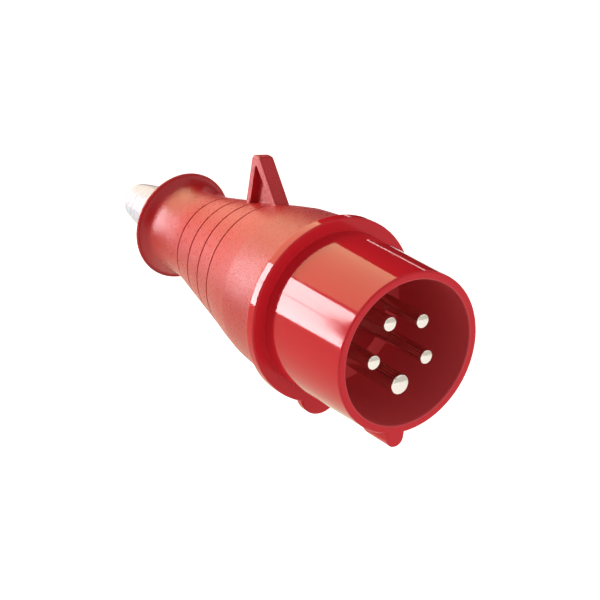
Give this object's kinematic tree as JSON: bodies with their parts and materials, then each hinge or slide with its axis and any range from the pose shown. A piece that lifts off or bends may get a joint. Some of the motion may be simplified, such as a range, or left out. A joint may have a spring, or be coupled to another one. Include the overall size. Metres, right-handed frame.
{
  "type": "industrial pin and sleeve plug",
  "caption": "Red industrial plug for three-phase current: a round sleeve with a keyway nose round its pins, a flange, a tapered grooved rear housing with a catch fin, and a stepped cable seal.",
  "frame": {"origin": "centre of the sleeve's mouth, on the plug axis", "axes": "+X along the plug axis towards the socket, +Z towards the catch fin, -Z towards the keyway nose"},
  "size_m": [0.1688, 0.0656, 0.0765],
  "materials": {
    "sleeve_plastic": "glossy moulded red",
    "housing_plastic": "fine textured moulded red",
    "inner_plastic": "satin dark red",
    "grip_plastic": "satin dark grey",
    "seal_rubber": "milky translucent",
    "gasket_rubber": "matt black",
    "nickel_brass": "nickel plated, satin",
    "screw_steel": "zinc plated"
  },
  "bodies": {
    "front": {"front_housing": "sleeve_plastic", "contact_carrier": "inner_plastic", "carrier_screws": "screw_steel", "earth_pin": "nickel_brass", "phase_pin_l1": "nickel_brass", "phase_pin_l2": "nickel_brass", "phase_pin_l3": "nickel_brass", "neutral_pin": "nickel_brass", "earth_terminal_screw": "screw_steel", "terminal_screw_l1": "screw_steel", "terminal_screw_l2": "screw_steel", "terminal_screw_l3": "screw_steel", "neutral_terminal_screw": "screw_steel", "body_gasket": "gasket_rubber", "cord_grip_base": "grip_plastic", "cord_grip_nuts": "screw_steel"},
    "grip": {"cord_grip_saddle": "grip_plastic", "cord_grip_screws": "screw_steel"},
    "rear": {"rear_housing": "housing_plastic", "cable_seal": "seal_rubber", "seal_ring": "grip_plastic"}
  },
  "joints": [
    {"name": "housing_twist", "type": "hinge", "parent": "front", "child": "rear", "pos_m": [-0.06, 0, 0], "axis": [1, 0, 0], "range_deg": [0, 24]},
    {"name": "cord_grip_travel", "type": "slide", "parent": "front", "child": "grip", "axis": [0, 0, -1], "range_m": [0, 0.003]}
  ]
}
